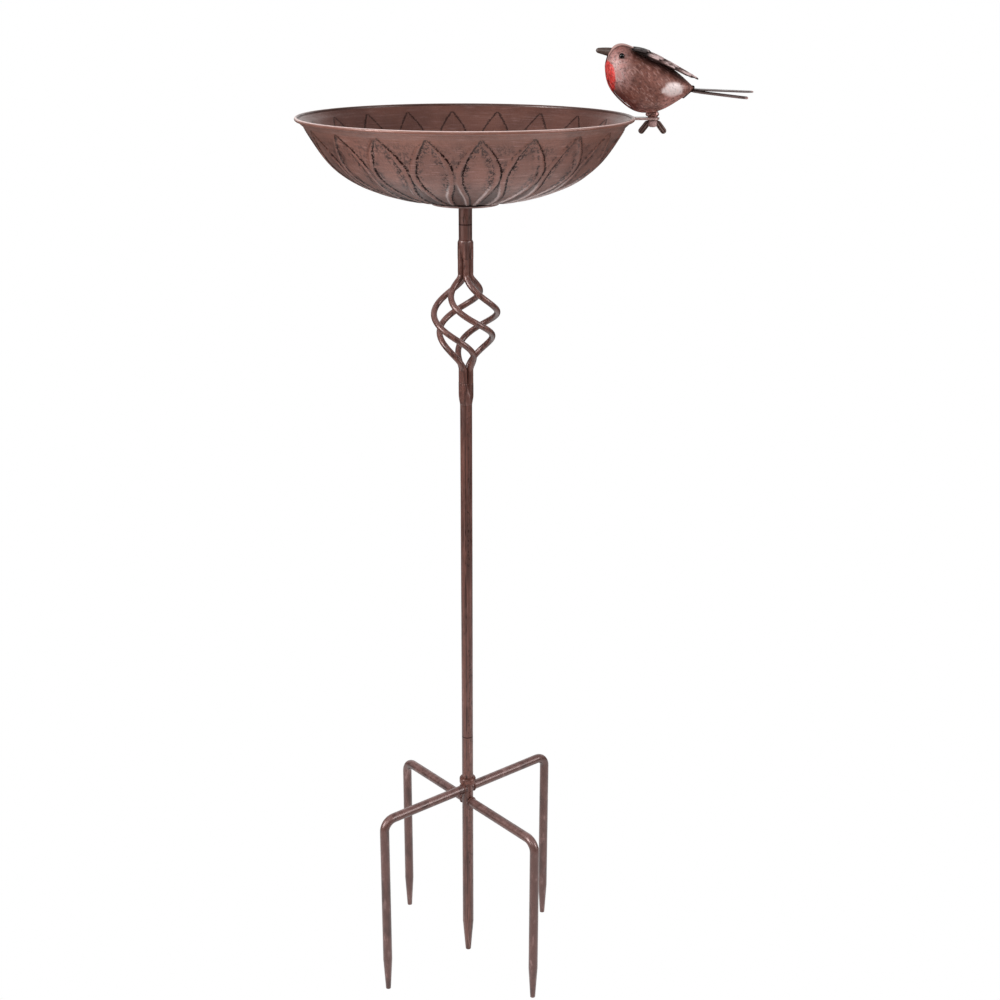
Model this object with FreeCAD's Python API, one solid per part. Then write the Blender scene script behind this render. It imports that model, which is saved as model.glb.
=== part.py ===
import FreeCAD, Part

# Bird bath on a five-pronged ground stake, with a pressed-metal robin clamped to its rim.
# Millimetres. +Z is up, the pole stands on the Z axis, and z = 0 is the plane of the five
# spike tips. +X runs from the pole towards the robin.

import math
import os

from FreeCAD import Vector

# ---- stake and pole ----
TUBE_OD = 12.0             # pole and stake upright
TUBE_WALL = 1.0
STAKE_HEIGHT = 269.7       # spike tip to the joint where the pole stands on the stake
POLE_LENGTH = 376.3
SPIGOT_ENGAGEMENT = 40.0   # how far the spigot reaches into the tube each side of the joint
RUNNING_CLEARANCE = 0.05   # radial, for everything that slides or turns on a pin
SPIGOT_CHAMFER = 1.0
SPIKE_TAPER = 37.0         # height of the pointed end
SPIKE_TIP_D = 6.0
SPIKE_SOLID = 60.0         # the upright is closed up to this height

# ---- ground prongs ----
PRONG_D = 9.8
PRONG_REACH = 111.4        # pole axis to a leg's axis
PRONG_BEND_R = 12.0        # centre line
PRONG_TAPER = 37.0
PRONG_TIP_D = 5.4
UPPER_ARM_Z = 206.5        # back-right and front-left prongs
ARM_LEVEL_STEP = 15.45     # the other pair is welded this much lower
PRONG_TURN = 38.5          # azimuth of the back-right prong, degrees
COLLAR_OD = 17.6
COLLAR_HEIGHT = 8.6
COLLAR_LIFT = 0.3          # collar above the upper arms
COLLAR_ROUNDING = 0.9      # rounding of its edges, share of its breadth

# ---- twisted basket ----
ROD_D = 6.0
ROD_GAP = 0.5              # between neighbouring rods where they run straight
ROD_FOOT = 26.9            # straight stretch above the pole
BASKET_HEIGHT = 95.5       # bulging stretch
ROD_HEAD = 31.6            # straight stretch below the head tube
BULGE_R = 31.7             # largest radius of a rod's centre line
BULGE_POWER = 1.224        # above 1, the bulge is fuller in the middle than a sine
BULGE_SOFTNESS = 0.18      # how gently the rods leave the straight stretches
BULGE_SKEW = 0.207         # lifts the widest point above the middle
TWIST_START = 7.1          # azimuth of the first rod at the top, degrees
TWIST_TOTAL = 241.4        # left-handed turn from top to bottom, degrees
TWIST_EASE = 0.219         # share of the turn taken from the two ends
ROD_COUNT = 4
ROD_STATIONS = 48          # points that carry each rod's curve
HEAD_TUBE_LENGTH = 17.0
SOCKET_WALL = 1.5          # head tube and bowl socket

# ---- bowl ----
RIM_R = 158.6              # over the rolled edge
BOWL_DEPTH = 80.0          # rim top to the underside of the bottom
SHEET = 1.0
ROLL_R = 1.7               # rolled edge
LIP_WIDTH = 8.1            # flared lip, measured along the radius
LIP_HEIGHT = 8.2
BOWL_FLAT_R = 12.0         # flat spot welded to the plate
SOCKET_LENGTH = 19.1
PLATE_D = 64.0
PLATE_T = 1.5
# wall outline between the flat spot and the lip: share of the radius, share of the depth
WALL_OUTLINE = [
    (0.235, 0.972),
    (0.415, 0.919),
    (0.575, 0.832),
    (0.715, 0.712),
    (0.855, 0.500),
    (0.945, 0.262),
]

# ---- clamp under the robin ----
TAB_LENGTH = 23.6          # rolled edge to the far end
TAB_WIDTH = 15.0
TAB_T = 2.0
TAB_DROP = 1.1             # tab's top below the rim's top
SCREW_D = 5.0
SCREW_OFFSET = 17.4        # rim to the screw's axis
SCREW_PROUD = 0.5          # screw end below the wing nut
SCREW_CLEARANCE = 0.1      # radial, tab and washer holes
NUT_ACROSS_FLATS = 8.0
NUT_HEIGHT = 4.0
BOSS_D = 7.0
WASHER_D = 10.0
WASHER_T = 1.0
HUB_D = 9.0
HUB_END_D = 8.0
HUB_HEIGHT = 5.3
WING_REACH = 13.1          # screw axis to a wing's outermost point, 26 mm over both
WING_HEIGHT = 12.0         # washer to the wings' lowest point
WING_BREADTH = 5.6
WING_T = 2.4

# ---- robin ----
BODY_LENGTH = 85.6         # throat to tail root, along the body's own axis
BODY_TILT = 14.5           # axis drops towards the tail, degrees
BODY_FRONT_X = -46.1       # throat point from the screw's axis
BODY_FRONT_Z = 47.0        # throat point above the rim
BODY_SHEET = 1.0
LEAST_SECTION = 0.8        # smallest half height or width that still makes a body section
ARC_STEPS = 8              # steps from the top of a body section to its bottom
# stations along the body: share of the length, height above and below the axis, half width
BODY_STATIONS = [
    (0.004, 11.6, 2.0, 5.6),
    (0.02, 14.5, 5.4, 9.0),
    (0.05, 18.2, 11.3, 12.6),
    (0.10, 21.0, 17.8, 16.2),
    (0.20, 21.6, 25.0, 20.4),
    (0.30, 20.0, 29.7, 22.6),
    (0.40, 18.2, 32.9, 23.4),
    (0.50, 16.4, 33.6, 23.0),
    (0.60, 14.6, 31.6, 21.4),
    (0.70, 12.4, 27.6, 18.8),
    (0.80, 9.3, 20.8, 14.8),
    (0.90, 5.3, 12.1, 9.2),
    (0.96, 2.7, 6.2, 5.2),
    (0.995, 1.0, 2.2, 2.2),
]
BEAK_LENGTH = 15.0
BEAK_ROOT_D = 8.0
BEAK_MID_D = 6.2
BEAK_TIP_D = 3.2
BEAK_SHARE = 0.035         # where the beak leaves the head, share of the body's length
BEAK_RISE = 11.2           # beak axis above the body's axis there
BEAK_PITCH = 8.0           # beak points up by this, degrees
EYE_D = 4.3
EYE_SHARE = 0.152
EYE_RISE = 9.6
EYE_SIDE = 16.2            # eye's centre from the seam
WING_ROOT_SHARE = 0.225    # front of the folded wings, share of the body's length
WING_ROOT_RISE = 20.8
FEATHER_WING_LENGTH = 68.0
FEATHER_WING_BREADTH = 21.0
FEATHER_WING_T = 1.2
FEATHER_WING_PITCH = 23.6  # wings fall towards the tail by this, degrees
FEATHER_WING_CURVE = 60.0  # radius of the wings' cross curve
FEATHER_WING_GAP = 0.6     # each wing from the seam plane
# folded wing's outline: share of the length, share of the breadth
WING_FRONT_EDGE = [(0.10, 0.62), (0.36, 1.0), (0.70, 0.86), (1.0, 0.52)]
WING_NOTCH = (0.80, 0.22)  # on the trailing edge
WING_SEAM_SHARE = 0.45     # share of the length along which the wings lie side by side
UPPER_TAIL_LENGTH = 61.5
LOWER_TAIL_LENGTH = 55.5
TAIL_BREADTH = 13.0
TAIL_ROOT_BREADTH = 5.0
TAIL_T = 1.3
TAIL_ROOT_SHARE = 0.965
TAIL_ROOT_RISE = -2.7      # tail root below the body's axis
TAIL_SPREAD = 5.5          # each feather turns sideways by this, degrees
UPPER_TAIL_PITCH = 2.4     # upper feather falls by this, degrees
LOWER_TAIL_PITCH = 6.4

# ---- heights and places that follow ----
JOINT_Z = STAKE_HEIGHT
POLE_TOP_Z = JOINT_Z + POLE_LENGTH
BASKET_BOTTOM_Z = POLE_TOP_Z + ROD_FOOT
BASKET_TOP_Z = BASKET_BOTTOM_Z + BASKET_HEIGHT
HEAD_TUBE_Z = BASKET_TOP_Z + ROD_HEAD
BOWL_JOINT_Z = HEAD_TUBE_Z + HEAD_TUBE_LENGTH
PLATE_Z = BOWL_JOINT_Z + SOCKET_LENGTH
BOWL_BOTTOM_Z = PLATE_Z + PLATE_T
RIM_Z = BOWL_BOTTOM_Z + BOWL_DEPTH
TUBE_R = TUBE_OD / 2
BORE_R = TUBE_R - TUBE_WALL
PIN_R = BORE_R - RUNNING_CLEARANCE
SOCKET_R = BORE_R + SOCKET_WALL
BUNDLE_R = (ROD_D + ROD_GAP) / math.sqrt(2)
LOWER_ARM_Z = UPPER_ARM_Z - ARM_LEVEL_STEP
TAB_TOP_Z = RIM_Z - TAB_DROP
SCREW_X = RIM_R + SCREW_OFFSET
SCREW_R = SCREW_D / 2
HUB_TOP_Z = TAB_TOP_Z - TAB_T - WASHER_T
FRONT = Vector(SCREW_X + BODY_FRONT_X, 0, RIM_Z + BODY_FRONT_Z)
BACKWARD = Vector(math.cos(math.radians(BODY_TILT)), 0, -math.sin(math.radians(BODY_TILT)))
UPWARD = Vector(math.sin(math.radians(BODY_TILT)), 0, math.cos(math.radians(BODY_TILT)))
Z_AXIS = Vector(0, 0, 1)


def cylinder(radius, low, high, x=0.0):
    """Upright cylinder between two heights."""
    return Part.makeCylinder(radius, high - low, Vector(x, 0, low), Z_AXIS)


def tube(outer, inner, low, high):
    """Upright tube between two heights."""
    return cylinder(outer, low, high).cut(cylinder(inner, low, high))


def revolve(points):
    """Turn a closed outline of (radius, height) points about the Z axis."""
    outline = Part.makePolygon([Vector(r, 0, z) for r, z in points + points[:1]])
    return Part.Face(outline).revolve(Vector(0, 0, 0), Z_AXIS, 360)


def about_z(shape, degrees):
    """Turn a shape about the pole's axis."""
    turned = shape.copy()
    turned.rotate(Vector(0, 0, 0), Z_AXIS, degrees)
    return turned


# ---- stake ----

def stake_spike():
    """Upright of the stake: a tube closed and drawn to a blunt point at its foot."""
    body = revolve([
        (0, 0),
        (SPIKE_TIP_D / 2, 0),
        (TUBE_R, SPIKE_TAPER),
        (TUBE_R, JOINT_Z),
        (0, JOINT_Z),
    ])
    return body.cut(cylinder(BORE_R, SPIKE_SOLID, JOINT_Z))


def stake_spigot():
    """Pin pressed into the stake's top; its upper half guides the pole."""
    top = JOINT_Z + SPIGOT_ENGAGEMENT
    return revolve([
        (0, JOINT_Z - SPIGOT_ENGAGEMENT),
        (BORE_R, JOINT_Z - SPIGOT_ENGAGEMENT),
        (BORE_R, JOINT_Z),
        (PIN_R, JOINT_Z),
        (PIN_R, top - SPIGOT_CHAMFER),
        (PIN_R - SPIGOT_CHAMFER, top),
        (0, top),
    ])


def stop_collar():
    """Rounded collar on the upright, just above the upper arms."""
    low = UPPER_ARM_Z + PRONG_D / 2 + COLLAR_LIFT
    ring = cylinder(COLLAR_OD / 2, low, low + COLLAR_HEIGHT)
    rounding = (COLLAR_OD / 2 - TUBE_R) * COLLAR_ROUNDING
    ring = ring.makeFillet(rounding, [edge for edge in ring.Edges if len(edge.Vertexes) == 1])
    return ring.cut(cylinder(TUBE_R, low, low + COLLAR_HEIGHT))


def prong(arm_z, azimuth):
    """Round bar: a level arm, a right-angled bend and a leg drawn to a blunt point."""
    bend_x = PRONG_REACH - PRONG_BEND_R
    bend_z = arm_z - PRONG_BEND_R
    half = math.sin(math.radians(45))
    arm = Part.LineSegment(Vector(0, 0, arm_z), Vector(bend_x, 0, arm_z))
    bend = Part.Arc(
        Vector(bend_x, 0, arm_z),
        Vector(bend_x + PRONG_BEND_R * half, 0, bend_z + PRONG_BEND_R * half),
        Vector(PRONG_REACH, 0, bend_z),
    )
    leg = Part.LineSegment(Vector(PRONG_REACH, 0, bend_z), Vector(PRONG_REACH, 0, PRONG_TAPER))
    path = Part.Wire([arm.toShape(), bend.toShape(), leg.toShape()])
    section = Part.Wire([Part.makeCircle(PRONG_D / 2, Vector(0, 0, arm_z), Vector(1, 0, 0))])
    bar = path.makePipeShell([section], True, False)
    point = Part.makeCone(PRONG_TIP_D / 2, PRONG_D / 2, PRONG_TAPER, Vector(PRONG_REACH, 0, 0), Z_AXIS)
    bar = bar.fuse(point).cut(cylinder(TUBE_R, 0, JOINT_Z))
    return about_z(bar.removeSplitter(), azimuth)


# ---- pole and basket ----

def main_pole():
    """Plain tube that drops over the stake's spigot."""
    return tube(TUBE_R, BORE_R, JOINT_Z, POLE_TOP_Z)


def rod_point(height):
    """Point on the first rod's centre line: straight, then bulging and turning, then straight."""
    step = min(max((BASKET_TOP_Z - height) / BASKET_HEIGHT, 0.0), 1.0)
    lifted = step + BULGE_SKEW * step * (1 - step)
    wave = max(math.sin(math.pi * lifted), 0.0)
    eased = wave * wave * math.hypot(1, BULGE_SOFTNESS) / math.hypot(wave, BULGE_SOFTNESS)
    radius = BUNDLE_R + (BULGE_R - BUNDLE_R) * eased ** BULGE_POWER
    turn = step - TWIST_EASE / (2 * math.pi) * math.sin(2 * math.pi * step)
    azimuth = math.radians(TWIST_START + TWIST_TOTAL * turn)
    return Vector(radius * math.cos(azimuth), radius * math.sin(azimuth), height)


def basket_rod(number):
    """One of the four twisted rods, a quarter turn apart."""
    drop = (HEAD_TUBE_Z - POLE_TOP_Z) / ROD_STATIONS
    curve = Part.BSplineCurve()
    curve.interpolate([rod_point(HEAD_TUBE_Z - drop * i) for i in range(ROD_STATIONS + 1)])
    section = Part.Wire([Part.makeCircle(ROD_D / 2, curve.StartPoint, Z_AXIS)])
    rod = Part.Wire([curve.toShape()]).makePipeShell([section], True, False)
    return about_z(rod, number * 360 / ROD_COUNT)


def head_tube():
    """Short tube on top of the rods that takes the bowl's pin."""
    return tube(SOCKET_R, BORE_R, HEAD_TUBE_Z, BOWL_JOINT_Z)


# ---- bowl ----

def bowl_pin():
    """Loose pin between the head tube and the bowl's socket."""
    low = HEAD_TUBE_Z + SPIGOT_CHAMFER
    high = PLATE_Z - SPIGOT_CHAMFER
    return revolve([
        (0, low),
        (PIN_R - SPIGOT_CHAMFER, low),
        (PIN_R, low + SPIGOT_CHAMFER),
        (PIN_R, high - SPIGOT_CHAMFER),
        (PIN_R - SPIGOT_CHAMFER, high),
        (0, high),
    ])


def bowl_socket():
    """Stub tube under the bowl."""
    return tube(SOCKET_R, BORE_R, BOWL_JOINT_Z, PLATE_Z)


def bowl_plate():
    """Round stiffening plate between the socket and the bowl."""
    return cylinder(PLATE_D / 2, PLATE_Z, BOWL_BOTTOM_Z)


def bowl():
    """Spun sheet bowl with a flared lip and a rolled edge, turned from one cross-section."""
    crease = (RIM_R - LIP_WIDTH, RIM_Z - LIP_HEIGHT)
    wall = [(BOWL_FLAT_R, BOWL_BOTTOM_Z)]
    wall += [(share * crease[0], RIM_Z - depth * BOWL_DEPTH) for share, depth in WALL_OUTLINE]
    wall += [crease]
    outer = Part.BSplineCurve()
    outer.interpolate([Vector(r, 0, z) for r, z in wall])
    inner_points = []
    for number in range(len(wall)):
        at = outer.parameter(Vector(wall[number][0], 0, wall[number][1]))
        slope = outer.tangent(at)[0]
        lift = Vector(0, 0, 1) if number == 0 else Vector(-slope.z, 0, slope.x)
        inner_points.append(outer.value(at) + lift * SHEET)
    inner = Part.BSplineCurve()
    inner.interpolate(inner_points)
    roll = Vector(RIM_R - ROLL_R, 0, RIM_Z - ROLL_R)
    lip = (roll - outer.EndPoint).normalize()
    across = Vector(-lip.z, 0, lip.x) * (SHEET / 2)
    outline = [
        Part.LineSegment(Vector(0, 0, BOWL_BOTTOM_Z), outer.StartPoint),
        outer,
        Part.LineSegment(outer.EndPoint, roll - across),
        Part.LineSegment(roll - across, roll + across),
        Part.LineSegment(roll + across, inner.EndPoint),
        inner,
        Part.LineSegment(inner.StartPoint, Vector(0, 0, BOWL_BOTTOM_Z + SHEET)),
        Part.LineSegment(Vector(0, 0, BOWL_BOTTOM_Z + SHEET), Vector(0, 0, BOWL_BOTTOM_Z)),
    ]
    section = Part.Face(Part.Wire(Part.__sortEdges__([piece.toShape() for piece in outline])))
    sheet = section.revolve(Vector(0, 0, 0), Z_AXIS, 360)
    return sheet.fuse(rim_bead()).removeSplitter()


def rim_bead():
    """Solid ring of the bowl's rolled edge, for pieces welded against it."""
    return Part.makeTorus(RIM_R - ROLL_R, ROLL_R, Vector(0, 0, RIM_Z - ROLL_R), Z_AXIS)


def bird_tab():
    """Flat strip welded to the rim, with a rounded end and a hole for the robin's screw."""
    low = TAB_TOP_Z - TAB_T
    start = RIM_R - ROLL_R
    end = RIM_R + TAB_LENGTH
    round_r = TAB_WIDTH / 2
    strip = Part.makeBox(end - round_r - start, TAB_WIDTH, TAB_T, Vector(start, -round_r, low))
    strip = strip.fuse(cylinder(round_r, low, TAB_TOP_Z, end - round_r)).removeSplitter()
    strip = strip.cut(rim_bead()).cut(cylinder(RIM_R - ROLL_R, low, TAB_TOP_Z))
    return strip.cut(cylinder(SCREW_R + SCREW_CLEARANCE, low, TAB_TOP_Z, SCREW_X))


# ---- robin ----

def body_point(share, rise, side=0.0):
    """Point at a share of the body's length, a height above its axis and a distance sideways."""
    return FRONT + BACKWARD * (share * BODY_LENGTH) + UPWARD * rise + Vector(0, side, 0)


def body_half(inset):
    """Right half of the body's egg shape, lofted through half-oval sections beside the seam."""
    sections = []
    for share, above, below, half_width in BODY_STATIONS:
        if min(above, below, half_width) <= inset + LEAST_SECTION:
            continue
        top = body_point(share, above - inset)
        bottom = body_point(share, inset - below)
        wide = half_width - inset
        middle = (above - below) / 2
        reach = (above + below) / 2 - inset
        arc = []
        for step in range(ARC_STEPS + 1):
            angle = math.pi / 2 - step * math.pi / ARC_STEPS
            arc.append(body_point(share, middle + reach * math.sin(angle), wide * math.cos(angle)))
        curve = Part.BSplineCurve()
        curve.interpolate(Points=arc, InitialTangent=Vector(0, 1, 0), FinalTangent=Vector(0, -1, 0))
        sections.append(Part.Wire([curve.toShape(), Part.LineSegment(bottom, top).toShape()]))
    return Part.makeLoft(sections, True)


def other_side(shape):
    """Mirror image of a shape in the seam plane."""
    return shape.mirror(Vector(0, 0, 0), Vector(0, 1, 0))


def body_shell():
    """Pressed right half shell of the body."""
    return body_half(0).cut(body_half(BODY_SHEET))


def whole_body():
    """Both halves of the body, filled."""
    half = body_half(0)
    return half.fuse(other_side(half))


def beak(body):
    """Blunt cone on the head, in two lengths."""
    pitch = math.radians(BEAK_PITCH)
    along = Vector(-math.cos(pitch), 0, math.sin(pitch))
    root = body_point(BEAK_SHARE, BEAK_RISE)
    half = BEAK_LENGTH / 2
    rear = Part.makeCone(BEAK_ROOT_D / 2, BEAK_MID_D / 2, half, root, along)
    front = Part.makeCone(BEAK_MID_D / 2, BEAK_TIP_D / 2, half, root + along * half, along)
    return rear.fuse(front).cut(body)


def eye(side, body):
    """Glossy bead set on the side of the head."""
    centre = body_point(EYE_SHARE, EYE_RISE, side * EYE_SIDE)
    return Part.makeSphere(EYE_D / 2, centre).cut(body)


def plate_frame(root, pitch, yaw):
    """Placement with its X axis running backwards, falling by pitch and turned sideways by yaw."""
    turn = FreeCAD.Rotation(Z_AXIS, yaw)
    fall = FreeCAD.Rotation(Vector(0, 1, 0), pitch)
    return FreeCAD.Placement(root, turn.multiply(fall))


def wing(side, body):
    """Folded wing: a feather-shaped sheet, curved across, lying on the back."""
    inner = FEATHER_WING_GAP
    outer = FEATHER_WING_BREADTH
    reach = FEATHER_WING_LENGTH
    front = Vector(0, side * inner, 0)
    rear = Vector(reach * WING_SEAM_SHARE, side * inner, 0)
    edge_points = [Vector(reach * along, side * outer * across, 0) for along, across in WING_FRONT_EDGE]
    notch = Vector(reach * WING_NOTCH[0], side * outer * WING_NOTCH[1], 0)
    edge = Part.BSplineCurve()
    edge.interpolate([front] + edge_points)
    back = Part.BSplineCurve()
    back.interpolate([edge_points[-1], notch, rear])
    seam = Part.LineSegment(rear, front)
    outline = Part.Face(Part.Wire([edge.toShape(), back.toShape(), seam.toShape()]))
    outside = FEATHER_WING_CURVE
    outline.translate(Vector(0, 0, -outside / 4))
    prism = outline.extrude(Vector(0, 0, outside / 2))
    axis_start = Vector(-1, 0, -outside)
    sheet = Part.makeCylinder(outside, reach + 2, axis_start, Vector(1, 0, 0))
    sheet = sheet.cut(Part.makeCylinder(outside - FEATHER_WING_T, reach + 2, axis_start, Vector(1, 0, 0)))
    shape = prism.common(sheet)
    shape.Placement = plate_frame(body_point(WING_ROOT_SHARE, WING_ROOT_RISE), FEATHER_WING_PITCH, 0)
    return shape.cut(body)


def tail_feather(side, length, lift, pitch, body):
    """Tail feather: a flat sheet that widens towards its rounded end."""
    half = TAIL_BREADTH / 2
    root = TAIL_ROOT_BREADTH / 2
    straight = length - half
    tip = Part.Arc(Vector(straight, -half, 0), Vector(length, 0, 0), Vector(straight, half, 0))
    outline = [
        Part.LineSegment(Vector(0, root, 0), Vector(0, -root, 0)),
        Part.LineSegment(Vector(0, -root, 0), Vector(straight, -half, 0)),
        tip,
        Part.LineSegment(Vector(straight, half, 0), Vector(0, root, 0)),
    ]
    blade = Part.Face(Part.Wire([piece.toShape() for piece in outline]))
    blade = blade.extrude(Vector(0, 0, TAIL_T))
    blade.translate(Vector(0, 0, lift))
    blade.Placement = plate_frame(body_point(TAIL_ROOT_SHARE, TAIL_ROOT_RISE), pitch, side * TAIL_SPREAD)
    return blade.cut(body)


# ---- clamp ----

def belly_boss(body):
    """Short boss welded between the body and the lock nut."""
    low = TAB_TOP_Z + NUT_HEIGHT
    return cylinder(BOSS_D / 2, low, low + BOSS_D, SCREW_X).cut(body)


def bird_screw():
    """Screw that hangs from the boss through the nut, the tab, the washer and the wing nut."""
    low = HUB_TOP_Z - HUB_HEIGHT - SCREW_PROUD
    return cylinder(SCREW_R, low, TAB_TOP_Z + NUT_HEIGHT, SCREW_X)


def lock_nut():
    """Hexagonal nut on top of the tab."""
    corner_r = NUT_ACROSS_FLATS / math.sqrt(3)
    corners = []
    for number in range(7):
        angle = math.radians(60 * number)
        corners.append(Vector(SCREW_X + corner_r * math.cos(angle), corner_r * math.sin(angle), TAB_TOP_Z))
    hexagon = Part.Face(Part.makePolygon(corners)).extrude(Vector(0, 0, NUT_HEIGHT))
    return hexagon.cut(cylinder(SCREW_R, TAB_TOP_Z, TAB_TOP_Z + NUT_HEIGHT, SCREW_X))


def washer():
    """Plain washer under the tab."""
    disc = cylinder(WASHER_D / 2, HUB_TOP_Z, HUB_TOP_Z + WASHER_T, SCREW_X)
    return disc.cut(cylinder(SCREW_R + SCREW_CLEARANCE, HUB_TOP_Z, HUB_TOP_Z + WASHER_T, SCREW_X))


def wing_nut():
    """Wing nut, upside down, with two straight wings spread outwards and down."""
    low = HUB_TOP_Z - HUB_HEIGHT
    hub = Part.makeCone(HUB_END_D / 2, HUB_D / 2, HUB_HEIGHT, Vector(SCREW_X, 0, low), Z_AXIS)
    round_r = WING_BREADTH / 2
    start = Vector(SCREW_R + round_r, 0, -round_r)
    end = Vector(WING_REACH - round_r, 0, round_r - WING_HEIGHT)
    along = end - start
    lean = math.degrees(math.atan2(-along.z, along.x))
    blade = Part.makeBox(along.Length, WING_T, WING_BREADTH, Vector(0, -WING_T / 2, -round_r))
    for place in (0, along.Length):
        round_end = Part.makeCylinder(round_r, WING_T, Vector(place, -WING_T / 2, 0), Vector(0, 1, 0))
        blade = blade.fuse(round_end)
    blade = blade.removeSplitter()
    blade.rotate(Vector(0, 0, 0), Vector(0, 1, 0), lean)
    blade.translate(start)
    nut = hub
    for turn in (0, 180):
        side = blade.copy()
        side.rotate(Vector(0, 0, 0), Z_AXIS, turn)
        side.translate(Vector(SCREW_X, 0, HUB_TOP_Z))
        nut = nut.fuse(side)
    bore = cylinder(SCREW_R + RUNNING_CLEARANCE, low - WING_HEIGHT, HUB_TOP_Z, SCREW_X)
    return nut.removeSplitter().cut(bore)


def all_parts():
    """Every piece of the bird bath, by node name."""
    body = whole_body()
    upper_feather = tail_feather(1, UPPER_TAIL_LENGTH, 0.0, UPPER_TAIL_PITCH, body)
    lower_feather = tail_feather(-1, LOWER_TAIL_LENGTH, -TAIL_T, LOWER_TAIL_PITCH, body)
    parts = {
        "stake_spike": stake_spike(),
        "stake_spigot": stake_spigot(),
        "stop_collar": stop_collar(),
        "prong_back_right": prong(UPPER_ARM_Z, PRONG_TURN),
        "prong_back_left": prong(LOWER_ARM_Z, PRONG_TURN + 90),
        "prong_front_left": prong(UPPER_ARM_Z, PRONG_TURN + 180),
        "prong_front_right": prong(LOWER_ARM_Z, PRONG_TURN + 270),
        "main_pole": main_pole(),
        "head_tube": head_tube(),
        "bowl_pin": bowl_pin(),
        "bowl_socket": bowl_socket(),
        "bowl_plate": bowl_plate(),
        "bowl": bowl(),
        "bird_tab": bird_tab(),
        "body_shell_left": other_side(body_shell()),
        "body_shell_right": body_shell(),
        "beak": beak(body),
        "eye_left": eye(-1, body),
        "eye_right": eye(1, body),
        "wing_left": wing(-1, body),
        "wing_right": wing(1, body),
        "tail_feather_upper": upper_feather,
        "tail_feather_lower": lower_feather.cut(upper_feather),
        "belly_boss": belly_boss(body),
        "bird_screw": bird_screw(),
        "lock_nut": lock_nut(),
        "washer": washer(),
        "wing_nut": wing_nut(),
    }
    for number in range(ROD_COUNT):
        parts["basket_rod_%d" % (number + 1)] = basket_rod(number)
    return parts


def main():
    os.makedirs("parts", exist_ok=True)
    for name, shape in all_parts().items():
        shape.exportStep("parts/" + name + ".step")
        box = shape.BoundBox
        print(
            "%-20s solids %d valid %s volume %9.1f  x %.1f %.1f  y %.1f %.1f  z %.1f %.1f" % (
                name, len(shape.Solids), shape.isValid(), shape.Volume,
                box.XMin, box.XMax, box.YMin, box.YMax, box.ZMin, box.ZMax,
            )
        )


main()
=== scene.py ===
"""Looks of a bird bath: leaf-embossed metal bowl on a pole with a twisted basket, a pronged
ground stake, and a pressed-metal robin clamped to the rim.

Metres in the frame's own axes: +Z up, the pole on the Z axis, z = 0 at the spike tips, +X
towards the robin. Sizes named in millimetres are multiplied by MM where they are used.
"""

import math

import bpy
import numpy as np
from mathutils import Matrix, Vector


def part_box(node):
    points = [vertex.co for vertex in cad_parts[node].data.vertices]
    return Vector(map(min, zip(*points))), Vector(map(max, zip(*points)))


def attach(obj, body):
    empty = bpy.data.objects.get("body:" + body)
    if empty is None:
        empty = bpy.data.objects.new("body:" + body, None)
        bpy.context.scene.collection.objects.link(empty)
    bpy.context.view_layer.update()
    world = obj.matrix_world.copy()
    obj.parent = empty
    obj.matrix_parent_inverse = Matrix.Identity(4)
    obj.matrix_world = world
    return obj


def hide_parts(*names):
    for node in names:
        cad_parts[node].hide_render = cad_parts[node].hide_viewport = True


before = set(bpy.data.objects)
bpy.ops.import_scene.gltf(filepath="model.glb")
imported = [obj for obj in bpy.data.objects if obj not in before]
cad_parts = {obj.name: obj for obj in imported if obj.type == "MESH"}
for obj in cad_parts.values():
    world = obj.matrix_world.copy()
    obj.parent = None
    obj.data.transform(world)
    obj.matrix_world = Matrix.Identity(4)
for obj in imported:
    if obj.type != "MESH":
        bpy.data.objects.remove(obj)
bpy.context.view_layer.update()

MM = 0.001

# ---- places read from the frame ----
BOWL_LOW, BOWL_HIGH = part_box("bowl")
RIM_R = BOWL_HIGH.x / MM
RIM_Z = BOWL_HIGH.z / MM
BOWL_DEPTH = RIM_Z - BOWL_LOW.z / MM
HEAD_LOW, HEAD_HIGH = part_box("head_tube")
POLE_LOW, POLE_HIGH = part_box("main_pole")
COLLAR_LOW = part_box("stop_collar")[0]
SCREW_LOW, SCREW_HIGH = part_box("bird_screw")
NUT_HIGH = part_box("lock_nut")[1]
TAB_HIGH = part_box("bird_tab")[1]
SCREW_X = (SCREW_LOW.x + SCREW_HIGH.x) / 2 / MM

# ---- bowl, millimetres ----
SHEET = 1.0                # thickness of the metal
ROLL_R = 1.7               # rolled edge
LIP_WIDTH = 8.1            # crease to rim, sideways
LIP_HEIGHT = 8.2           # crease to rim, upwards
LIP_BELLY = 0.35           # how far the lip bows between them
# wall between the flat spot and the lip: share of the crease's radius, share of the depth
WALL_OUTLINE = [
    (0.08, 1.0),
    (0.235, 0.972),
    (0.415, 0.919),
    (0.575, 0.832),
    (0.715, 0.712),
    (0.855, 0.500),
    (0.945, 0.262),
]
LEAVES = 20
LEAF_OFFSET = 5.0          # azimuth of the first leaf's tip, degrees
LEAF_COLUMNS = 30          # grid columns across one leaf
# rib round a leaf: arc length from the bowl's centre, degrees from the leaf's middle line
RIB_LINE = [
    (45, 2.9), (50, 3.0), (70, 3.3), (85, 3.8), (100, 4.6), (115, 6.2), (128, 7.45),
    (135, 7.5), (142, 7.4), (150, 6.3), (160, 4.6), (168, 2.6), (174, 1.0), (178, 0.0),
]
RIB_HEIGHT = 1.0
RIB_HALF_WIDTH = (2.3, 3.5)   # near the bottom, near the lip
SLIVER_DEPTH = 0.45           # hollow between two leaves below their necks
INSIDE_LOSS = 0.55            # share of the relief that doesn't show on the inner face

# heights where one tube stands on another
JOINT_LINES = (HEAD_HIGH.z / MM, POLE_LOW.z / MM)

WHITE = (1, 1, 1, 1)


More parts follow.
